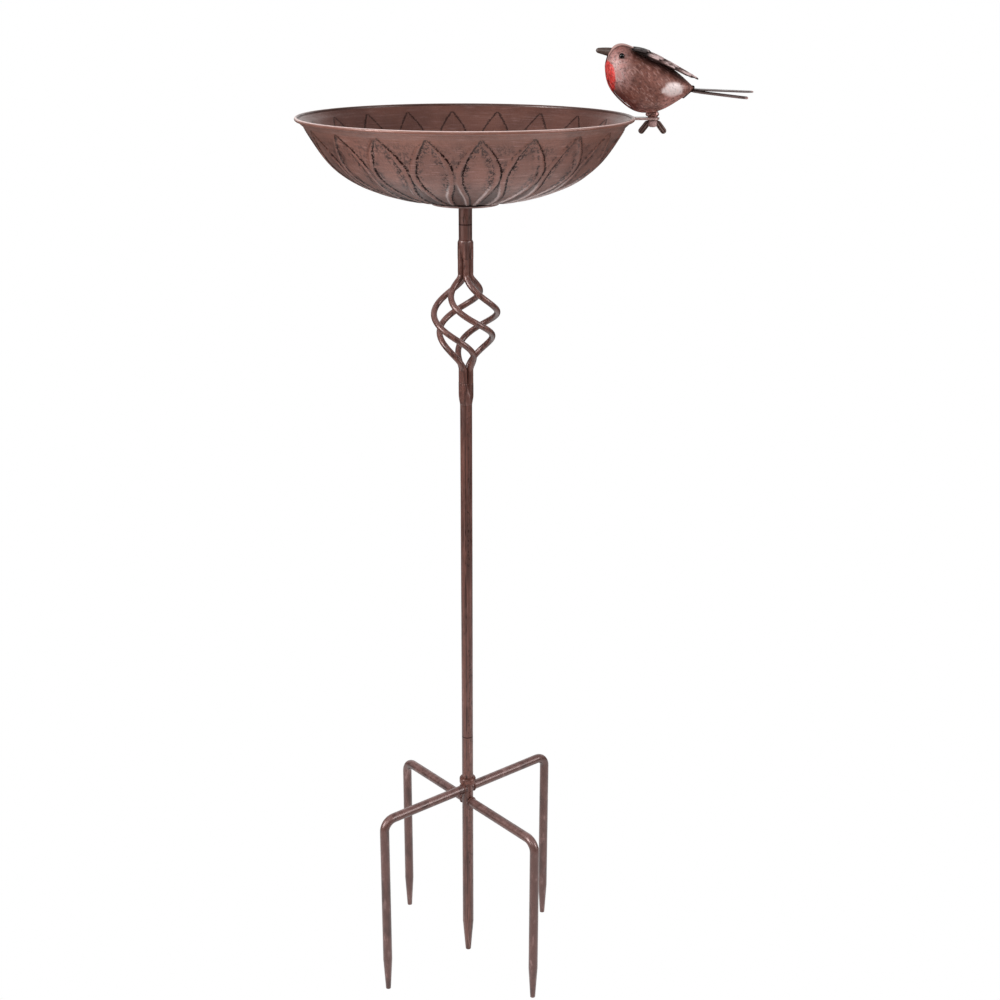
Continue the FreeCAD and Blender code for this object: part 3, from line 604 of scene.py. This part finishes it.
def wall_profile():
    """Outer face of the bowl from its centre to the crease: arc length, radius, height, outward normal."""
    crease = np.array([RIM_R - LIP_WIDTH, -LIP_HEIGHT])
    known = [(0.0, -BOWL_DEPTH)] + [(share * crease[0], -depth * BOWL_DEPTH) for share, depth in WALL_OUTLINE]
    known = np.array(known + [tuple(crease)])
    chord = np.concatenate([[0], np.cumsum(np.linalg.norm(np.diff(known, axis=0), axis=1))])
    dense = np.linspace(0, chord[-1], 2000)
    radius = spline(chord, known[:, 0], dense)
    height = spline(chord, known[:, 1], dense)
    arc = np.concatenate([[0], np.cumsum(np.hypot(np.diff(radius), np.diff(height)))])
    rows = np.concatenate([[0], np.arange(5, 42, 6), np.linspace(45, arc[-1], 60)])
    radius, height = np.interp(rows, arc, radius), np.interp(rows, arc, height)
    tangent = np.stack([np.gradient(radius, rows), np.gradient(height, rows)], axis=-1)
    tangent /= np.linalg.norm(tangent, axis=1)[:, None]
    tangent[0] = (1, 0)
    return rows, radius, height, np.stack([tangent[:, 1], -tangent[:, 0]], axis=-1)


def bowl_section():
    """Closed cross-section of the bowl's sheet.

    It runs from the pole out along the outer face and the lip, round the rolled edge, and back
    along the inner face. Per point it gives the place, the direction of its relief, the arc
    length from the pole, whether it is inside, and how strongly the rolled edge carries a painted
    highlight on its upper outer side and painted shade on its back.
    """
    arc, radius, height, normal = wall_profile()
    roll = np.array([RIM_R - ROLL_R, -ROLL_R])
    crease = np.array([radius[-1], height[-1]])
    lip = (roll - crease) / np.linalg.norm(roll - crease)
    side = np.array([lip[1], -lip[0]])
    steps = np.linspace(0.15, 0.78, 5)[:, None]
    lip_out = crease + steps * (roll - crease) + side * LIP_BELLY * np.sin(np.pi * steps)
    lip_in = lip_out - side * SHEET
    turn = math.atan2(-lip[1], -lip[0]) + np.linspace(math.radians(20), math.radians(340), 14)[:, None]
    rolled = roll + ROLL_R * np.concatenate([np.cos(turn), np.sin(turn)], axis=1)
    outer = np.stack([radius, height], axis=-1)
    inner = outer - normal * SHEET
    section = np.concatenate([outer, lip_out, rolled, lip_in[::-1], inner[::-1]])
    edge = len(section) - 2 * len(outer)
    push = np.concatenate([normal, np.zeros((edge, 2)), normal[::-1]])
    edge_arc = np.full(edge, arc[-1] + 6.0)
    edge_arc[len(lip_out) + 1:-len(lip_in) - 1] = arc[-1] + 13.0
    along = np.concatenate([arc, edge_arc, arc[::-1]])[:, None]
    inside = (np.arange(len(along)) > len(along) - len(arc) - len(lip_in) - 1)[:, None] * 1.0
    shine, shade = np.zeros((2, len(along), 1))
    roll_rows = slice(len(outer) + len(lip_out), len(outer) + len(lip_out) + len(rolled))
    # painted highlight along the upper outer side of the rolled edge, painted shade along its back
    shine[roll_rows] = np.clip(np.cos(turn - math.radians(66)), 0, 1) ** 16
    shade[roll_rows] = np.clip(np.cos(turn - math.radians(165)), 0, 1) ** 2
    return section, push, along, inside, shine, shade


def embossed_bowl():
    """Grid of the whole bowl sheet: one closed cross-section turned about the pole, raised by the leaf ribs.

    Round the pole runs the azimuth, along the section runs the arc length. Both faces move
    outwards by a relief, the inner one by less: a flat-topped ridge where a point is near the
    rib line of its leaf, less a shallow hollow between two leaves below their necks.
    """
    section, push, along, inside, shine, shade = bowl_section()
    arc, radius = wall_profile()[:2]
    columns = LEAVES * LEAF_COLUMNS
    azimuth = np.radians(LEAF_OFFSET + np.arange(columns) * 360 / columns)[None, :]
    turn = LEAVES * (azimuth - math.radians(LEAF_OFFSET))
    fold = np.degrees(np.abs((turn + np.pi) % (2 * np.pi) - np.pi)) / LEAVES
    line_arc, line_fold = np.array(RIB_LINE, float).T
    reach = np.maximum(section[:, :1], 1.0) * math.pi / 180
    lean = np.gradient(np.interp(arc, line_arc, line_fold) * radius * math.pi / 180, arc)
    lean = np.concatenate([lean, np.zeros(len(along) - 2 * len(arc)), lean[::-1]])[:, None]
    rib = (fold - np.interp(along, line_arc, line_fold)) * reach / np.sqrt(1 + lean ** 2)
    half = np.interp(along, [60, 130, 150, 178], (*RIB_HALF_WIDTH, RIB_HALF_WIDTH[1], 0.7))
    ridge = smooth(np.abs(rib), half, 0.35 * half) * smooth(along, arc[-1] + 0.2, arc[-1] - 3)
    hollow = smooth(rib, half, half + 2.5) * smooth(along, 132, 120)
    fade = smooth(along, 44, 62)
    relief = fade * (RIB_HEIGHT * ridge - SLIVER_DEPTH * hollow) * (1 - INSIDE_LOSS * inside)
    r = section[:, :1] + push[:, :1] * relief
    z = section[:, 1:] + push[:, 1:] * relief + RIM_Z
    none = 0 * azimuth
    points = np.stack([r * np.cos(azimuth), r * np.sin(azimuth), z + none], axis=-1)
    across = rib * np.where(np.sin(turn) < 0, -1, 1)
    above = smooth(along, arc[-1] + 0.5, arc[-1] + 1.5)
    rib = rib + 20 * (1 - fade + above)
    return points, {
        "arc": [along + none], "across": [across], "rib": [rib], "half": [half + none],
        "inside": [inside + none], "shine": [shine + none], "shade": [shade + none],
    }


bowl_points, bowl_values = embossed_bowl()
piece("embossed_bowl", "basin", [bowl_points], bowl_finish, ("bowl",), bowl_values)


def spun(outline, columns=48):
    """Grid of a solid turned about the Z axis from (radius, height) points that start and end on the axis."""
    line = np.asarray(outline, float)
    azimuth = np.linspace(0, 2 * np.pi, columns, endpoint=False)
    r = line[:, :1]
    return np.stack([r * np.cos(azimuth), r * np.sin(azimuth), line[:, 1:] + 0 * azimuth], axis=-1)


def ball(below, above, radius, rows, columns):
    """Grid of a ball about the Z axis that reaches a depth below and a height above its middle."""
    angle = np.linspace(-np.pi / 2, np.pi / 2, rows)
    rise = np.where(angle < 0, below, above) * np.sin(angle)
    return spun(np.stack([radius * np.cos(angle), rise], axis=-1), columns)


def swept(path, thick, helper, columns=12):
    """Grid of a round bar along a path: rows follow the path, columns go round the section.

    Each point is the path's point plus the section's radius times the cosine and sine of the
    column's angle along two directions square to the path.
    """
    path = np.asarray(path, float)
    tangent = np.gradient(path, axis=0)
    tangent /= np.linalg.norm(tangent, axis=1)[:, None]
    first = np.cross(np.asarray(helper, float), tangent)
    first /= np.linalg.norm(first, axis=1)[:, None]
    second = np.cross(tangent, first)
    angle = np.linspace(0, 2 * np.pi, columns, endpoint=False)[None, :, None]
    radius = (np.asarray(thick, float) * np.ones(len(path)))[:, None, None]
    radius[0], radius[-1] = 0, 0
    return path[:, None] + radius * (np.cos(angle) * first[:, None] + np.sin(angle) * second[:, None])


def weld_bead(centre, axis, radius, thick, start=0.0, sweep=360.0, rows=60):
    """Grid of a weld bead: a bar swept along an arc about an axis, its thickness rippling by an eighth."""
    axis = np.asarray(axis, float) / np.linalg.norm(axis)
    first = np.cross([0, 1, 0] if abs(axis[2]) > 0.9 else [0, 0, 1], axis)
    first /= np.linalg.norm(first)
    second = np.cross(axis, first)
    t = np.linspace(0, 1, rows)
    angle = np.radians(start + sweep * t)[:, None]
    path = np.asarray(centre, float) + radius * (np.cos(angle) * first + np.sin(angle) * second)
    ends = np.clip(np.minimum(t, 1 - t) * rows / 4, 0, 1) ** 0.5
    return swept(path, thick * ends * (1 + 0.12 * np.sin(t * sweep / 7)), axis)


# ---- weld fillings on the post and the stake ----

ROD_R = 3.0                # rod of the basket
BUNDLE_R = 4.6             # pole's axis to a rod's axis in the bundle
ROD_TURN_TOP = 7.1         # azimuth of the first rod at the head, degrees
BASKET_TWIST = 241.4       # turn of the rods from head to pole, degrees
ARM_LEVELS = (206.5, 191.05)   # heights of the two pairs of prongs
PRONG_TURN = 38.5          # azimuth of the first prong, degrees
ARM_BEAD_R = 6.6           # stake's axis to the plane of an arm's weld bead
LUMP_R = 6.2               # weld lump under the belly
LUMP_BELOW = 2.3           # its depth below its middle
LUMP_ABOVE = 5.0           # its height above its middle


def filled_bundle(heights, fill, end_radius, turn):
    """Grid of the metal filled in between four rods: rows are heights, columns go round the pole.

    The radius is the outline of four rods side by side, raised to fill wherever it is lower and
    drawn towards end_radius.
    """
    azimuth = np.linspace(0, 2 * np.pi, 96, endpoint=False)[None, :]
    off = (azimuth - math.radians(turn) + np.pi / 4) % (np.pi / 2) - np.pi / 4
    chord = np.clip((ROD_R + 0.12) ** 2 - (BUNDLE_R * np.sin(off)) ** 2, 0, None)
    lobe = BUNDLE_R * np.cos(off) + np.sqrt(chord)
    heights = np.asarray(heights, float)[:, None]
    fill = np.asarray(fill, float)[:, None]
    draw = np.asarray(end_radius, float)[:, None]
    r = np.maximum(lobe, fill)
    r = np.where(draw > 0, np.minimum(r, draw), r)
    r[0], r[-1] = 0, 0
    return np.stack([r * np.cos(azimuth), r * np.sin(azimuth), heights + 0 * azimuth], axis=-1)


def filled_weld(name, low, high, fill, draw, turn):
    """Weld that fills the bundle from one height to another."""
    heights = np.concatenate([[low], np.linspace(low, high, len(fill)), [high]])
    fill = np.concatenate([[0], fill, [0]])
    draw = np.concatenate([[1], draw, [1]])
    piece(name, "post", [filled_bundle(heights, fill, draw, turn)], pole_finish)


step = np.linspace(0, 1, 24)
head_z = HEAD_LOW.z / MM
filled_weld(
    "head_weld", head_z - 16, head_z + 2.5, 4.0 + 3.2 * smooth(step, 0, 0.75),
    np.interp(step, [0, 0.6, 0.86, 1], [9, 7.68, 7.62, 6.54]), ROD_TURN_TOP,
)
pole_z = POLE_HIGH.z / MM
filled_weld(
    "foot_weld", pole_z - 7, pole_z + 15, 6.6 - 2.6 * smooth(step, 0.3, 1),
    np.interp(step, [0, 0.35, 1], [6.06, 7.4, 9]), ROD_TURN_TOP + BASKET_TWIST,
)

hub = []
for number in range(4):
    azimuth = math.radians(PRONG_TURN + 90 * number)
    out = np.array([math.cos(azimuth), math.sin(azimuth), 0])
    hub.append(weld_bead(out * ARM_BEAD_R + np.array([0, 0, ARM_LEVELS[number % 2]]), out, 5.1, 0.95))
hub.append(weld_bead((0, 0, COLLAR_LOW.z / MM - 0.1), (0, 0, 1), 6.5, 0.9))
piece("hub_welds", "stake", hub, fitting_finish)

tab_z = TAB_HIGH.z / MM
lump = ball(LUMP_BELOW, LUMP_ABOVE, LUMP_R, 20, 48)
lump *= 1 + 0.06 * np.sin(5 * np.arctan2(lump[..., 1:2], lump[..., :1]))
lump_z = max(NUT_HIGH.z - 1.6 * MM, TAB_HIGH.z + 2.4 * MM) / MM
piece("nut_weld", "robin", [lump + [SCREW_X - 0.4, 0, lump_z]], lump_finish)

# bead across the tab's root, sagging a little towards its ends
bead_y = np.linspace(-7.6, 7.6, 24)
bead_line = np.stack([np.full(24, RIM_R - 0.2), bead_y, tab_z - 0.1 - 0.02 * bead_y ** 2 / 8], axis=-1)
piece("tab_weld", "basin", [swept(bead_line, 0.8, (0, 0, 1))], tab_finish)


# ---- robin ----

# the body's axis, falling from the throat to the tail; millimetres and radians
BODY_LENGTH = 85.6
TILT = math.radians(14.5)
THROAT = np.array([SCREW_X - 46.1, 0, RIM_Z + 47.0])
BACKWARD = np.array([math.cos(TILT), 0, -math.sin(TILT)])
UPWARD = np.array([math.sin(TILT), 0, math.cos(TILT)])


def body_point(share, rise, side=0.0):
    """Point at a share of the body's length, a height above its axis and a distance sideways."""
    return THROAT + BACKWARD * share * BODY_LENGTH + UPWARD * rise + np.array([0, side, 0])


def feather(root, tip, normal, width, thick, blunt=2.4, quill=0.35, arch=0.05, rows=30, columns=24):
    """Grid of one feather: rows run from root to tip, columns go round a thin section.

    The half width rises fast from the root and ends in a rounded tip; the section is a flat
    lens with a raised quill on its upper side; the whole arches by a share of its length.
    """
    root, tip, normal = (np.asarray(v, float) for v in (root, tip, normal))
    ahead = tip - root
    length = np.linalg.norm(ahead)
    ahead /= length
    across = np.cross(normal, ahead)
    across /= np.linalg.norm(across)
    normal = np.cross(ahead, across)
    t = np.sin(np.linspace(0, np.pi / 2, rows))[:, None]
    a = np.linspace(0, 2 * np.pi, columns, endpoint=False)[None, :]
    taper = np.sqrt(np.clip(1 - np.clip((t - 0.62) / 0.38, 0, 1) ** blunt, 0, 1))
    half = width / 2 * taper * np.clip(t / 0.2, 0, 1) ** 0.6
    y = half * np.cos(a)
    z = thick / 2 * np.sign(np.sin(a)) * np.abs(np.sin(a)) ** 0.7 * np.clip(half / (width / 4), 0, 1)
    z = z + np.where(np.sin(a) > 0, quill * np.exp(-(y / 0.8) ** 2) * np.clip(half, 0, 1), 0)
    z = z - 0.5 * (y / (width / 2)) ** 2 + arch * length * 4 * t * (1 - t)
    return root + ahead * (length * t)[..., None] + across * y[..., None] + normal * z[..., None]


def feather_marks(length, width, rows=30, columns=24):
    """Per point of a feather: millimetres left to its tip and to its side edge."""
    t = np.sin(np.linspace(0, np.pi / 2, rows))[:, None]
    a = np.linspace(0, 2 * np.pi, columns, endpoint=False)[None, :]
    return (1 - t) * length + 0 * a, width / 2 * (1 - np.abs(np.cos(a))) + 0 * t


WING_PITCH = math.radians(23.6)
WING_ROOT = body_point(0.225, 20.8)
WING_BACK = np.array([math.cos(WING_PITCH), 0, -math.sin(WING_PITCH)])
WING_UP = np.array([math.sin(WING_PITCH), 0, math.cos(WING_PITCH)])
# wing rows from the lowest: rows of (reach, distance from the seam) of the feather tips, feather
# length and width, and how far the row lies above the lowest one
WING_ROWS = [
    ([(52, 3.4), (62, 7.8), (68, 11.6), (62, 15.2)], 44, 7.8, -0.6),
    ([(47, 3.2), (50.5, 8.0), (49, 12.8), (45, 17.2)], 33, 8.4, 0.6),
    ([(32.5, 3.2), (34, 8.0), (32.5, 13.0), (28.5, 17.8)], 24, 8.6, 1.8),
    ([(17.5, 3.6), (18, 9.2), (15.5, 15.0)], 16, 9.2, 2.7),
]


def wing_point(reach, side, lift):
    """Point on the folded wing, whose surface curves down towards its outer edge."""
    lift = lift * min(1.0, max(reach, 0.0) / 14) - 0.4
    return WING_ROOT + WING_BACK * reach + WING_UP * (lift - side * side / 115) + np.array([0, side, 0])


def wing(name, hand):
    """One folded wing: four rows of feathers, each row lying on the one behind it."""
    feathers, marks = [], []
    for tips, length, width, lift in WING_ROWS:
        for number, (reach, side) in enumerate(tips):
            root = wing_point(reach - length, hand * (side * 0.8 + 1.5), lift - 0.5)
            tip = wing_point(reach, hand * side, lift + 0.8 + 0.1 * (number % 2))
            feathers.append(feather(root, tip, WING_UP + np.array([0, hand * side / 50, 0]), width, 1.3))
            marks.append(feather_marks(length, width))
    values = {"tip": [m[0] for m in marks], "edge": [m[1] for m in marks]}
    plain_wing = "wing_left" if hand < 0 else "wing_right"
    piece(name, "robin", feathers, wing_finish, (plain_wing,), values)


wing("left_wing_feathers", -1)
wing("right_wing_feathers", 1)

TAIL_ROOT = body_point(0.965, -2.7)


def tail(name, node, length, fall, turn, lift, width, thick):
    """One long tail feather from the body's tail root."""
    fall, turn = math.radians(fall), math.radians(turn)
    ahead = np.array([math.cos(fall) * math.cos(turn), math.sin(turn), -math.sin(fall)])
    root = TAIL_ROOT + np.array([0, 0, lift])
    blade = feather(root, root + ahead * length, (0, 0, 1), width, thick, 5.0, 0.3, 0.0, 40, 24)
    marks = feather_marks(length, width, 40, 24)
    piece(name, "robin", [blade], tail_finish, (node,), {"tip": [marks[0]], "edge": [marks[1]]})


tail("upper_tail", "tail_feather_upper", 61.5, 2.4, 5.5, 0.6, 13.0, 1.5)
tail("lower_tail", "tail_feather_lower", 55.2, 6.4, -5.5, -0.8, 13.0, 2.2)
bracket = np.linspace(TAIL_ROOT + np.array([-6.5, 0, -7.3]), TAIL_ROOT + np.array([3.6, 0, 1.7]), 14)
knob = ball(1.8, 1.8, 2.0, 14, 24) + TAIL_ROOT + np.array([3.0, 0, 2.4])
piece("tail_bracket", "robin", [swept(bracket, 1.4, (0, 1, 0)), knob], dark_finish)

BEAK_LENGTH = 14.9
BEAK_PITCH = math.radians(11)
BEAK_R = 4.2

# beak: a bar that droops with the square of the distance and thins to a rounded tip
beak_ahead = np.array([-math.cos(BEAK_PITCH), 0, math.sin(BEAK_PITCH)])
t = np.linspace(0, 1, 24)
beak_path = body_point(0.035, 11.2) + np.outer(t * BEAK_LENGTH, beak_ahead) - np.outer(0.9 * t ** 2, [0, 0, 1])
rounding = np.sqrt(np.clip(1 - np.clip((t - 0.82) / 0.18, 0, 1) ** 2, 0, 1))
beak = swept(beak_path, BEAK_R * (1 - 0.52 * t ** 1.2) * rounding, (0, 1, 0), 24)
piece("rounded_beak", "robin", [beak], beak_finish, ("beak",))

EYE_R = 2.5
for side, node in ((-1, "eye_left"), (1, "eye_right")):
    low, high = (np.array(corner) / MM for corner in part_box(node))
    middle = (low + high) / 2 + np.array([-1.4, 0.2 * side, 1.6])
    bead = ball(EYE_R, EYE_R, EYE_R, 16, 32) + middle
    piece(f"glass_{node}", "robin", [bead], eye_finish, (node,))


# ---- stage, light and camera ----

def by_ray(tree, kind, others, glossy, seen):
    """Shader that differs by ray: for mirror-like reflections, straight from the camera, and for the rest.

    glossy and seen are strengths of white light from a node of the given kind.
    """
    rays = put(tree, "ShaderNodeLightPath").outputs
    dim = put(tree, kind, {"Color": WHITE, "Strength": glossy}).outputs[0]
    plain_white = put(tree, kind, {"Color": WHITE, "Strength": seen}).outputs[0]
    lit = put(tree, "ShaderNodeMixShader", {0: rays["Is Glossy Ray"], 1: others, 2: dim}).outputs[0]
    return put(tree, "ShaderNodeMixShader", {0: rays["Is Camera Ray"], 1: lit, 2: plain_white}).outputs[0]


def white_sheet(name, code):
    """Studio sheet seen as plain white; in reflections it is bright near the object and dim far off."""
    material, tree, shader, at = new_material(name)
    shader.inputs["Base Color"].default_value = colour(code)
    shader.inputs["Roughness"].default_value = 1.0
    away = put(tree, "ShaderNodeVectorMath", {0: at}, operation="LENGTH").outputs["Value"]
    glossy = ramp(tree, away, 0.5, 1.3, 0.9, 0.1)
    output = next(n for n in tree.nodes if n.type == "OUTPUT_MATERIAL")
    tree.links.new(by_ray(tree, "ShaderNodeEmission", shader.outputs[0], glossy, 1.0), output.inputs[0])
    return material


FLOOR = 40                 # half the floor's width, metres
FLOOR_Z = -0.001
floor_mesh = bpy.data.meshes.new("studio_floor")
floor_corners = [(x * FLOOR, y * FLOOR, FLOOR_Z) for x, y in ((-1, -1), (1, -1), (1, 1), (-1, 1))]
floor_mesh.from_pydata(floor_corners, [], [(0, 1, 2, 3)])
floor_mesh.materials.append(white_sheet("studio_floor", "#E4E2E0"))
made = bpy.data.objects.new("studio_floor", floor_mesh)
bpy.context.scene.collection.objects.link(made)


def soft_light(name, place, target, size, watts):
    """Square soft box that faces a target."""
    light = bpy.data.lights.new(name, "AREA")
    light.shape = "SQUARE"
    light.size = size
    light.energy = watts
    made = bpy.data.objects.new(name, light)
    made.location = place
    made.rotation_mode = "QUATERNION"
    made.rotation_quaternion = (Vector(target) - Vector(place)).to_track_quat("-Z", "Y")
    bpy.context.scene.collection.objects.link(made)


soft_light("left_box", (-2.4, -1.3, 1.6), (0, 0, 0.6), 1.3, 72)
soft_light("right_box", (2.4, -1.0, 1.5), (0, 0, 0.6), 1.3, 36)
soft_light("front_box", (-0.4, -2.6, 2.4), (0, 0, 0.7), 1.0, 18)

# the surround is white to the camera; in reflections it is bright behind the object and dim elsewhere
world = bpy.data.worlds.new("studio")
world.use_nodes = True
tree = world.node_tree
tree.nodes.clear()
diffuse = put(tree, "ShaderNodeBackground", {"Color": WHITE, "Strength": 0.8}).outputs[0]
towards = put(tree, "ShaderNodeTexCoord").outputs["Generated"]
behind = put(tree, "ShaderNodeSeparateXYZ", {0: towards}).outputs[1]
glossy = ramp(tree, behind, 0.6, 0.95, 0.12, 1.0)
put(tree, "ShaderNodeOutputWorld", {0: by_ray(tree, "ShaderNodeBackground", diffuse, glossy, 1.0)})
bpy.context.scene.world = world

# the camera looks down on the object from in front; metres, radians and millimetres of lens
CAMERA_PLACE = Vector((0, -1.432364, 1.032104))
CAMERA_PITCH = 0.3323
CAMERA_YAW = 0.0238
CAMERA_ROLL = 0.0037
CAMERA_LENS = 53.59
ahead = Vector((
    math.sin(CAMERA_YAW) * math.cos(CAMERA_PITCH),
    math.cos(CAMERA_YAW) * math.cos(CAMERA_PITCH),
    -math.sin(CAMERA_PITCH),
))
level = Vector((math.cos(CAMERA_YAW), -math.sin(CAMERA_YAW), 0))
upright = level.cross(ahead)
camera_x = level * math.cos(CAMERA_ROLL) + upright * math.sin(CAMERA_ROLL)
camera_y = upright * math.cos(CAMERA_ROLL) - level * math.sin(CAMERA_ROLL)
camera_data = bpy.data.cameras.new("camera")
camera_data.sensor_width = 36
camera_data.lens = CAMERA_LENS
camera = bpy.data.objects.new("camera", camera_data)
camera.matrix_world = Matrix((camera_x, camera_y, -ahead)).transposed().to_4x4()
camera.location = CAMERA_PLACE
bpy.context.scene.collection.objects.link(camera)
bpy.context.scene.camera = camera

scene = bpy.context.scene
scene.view_settings.view_transform = "Standard"
scene.view_settings.look = "None"
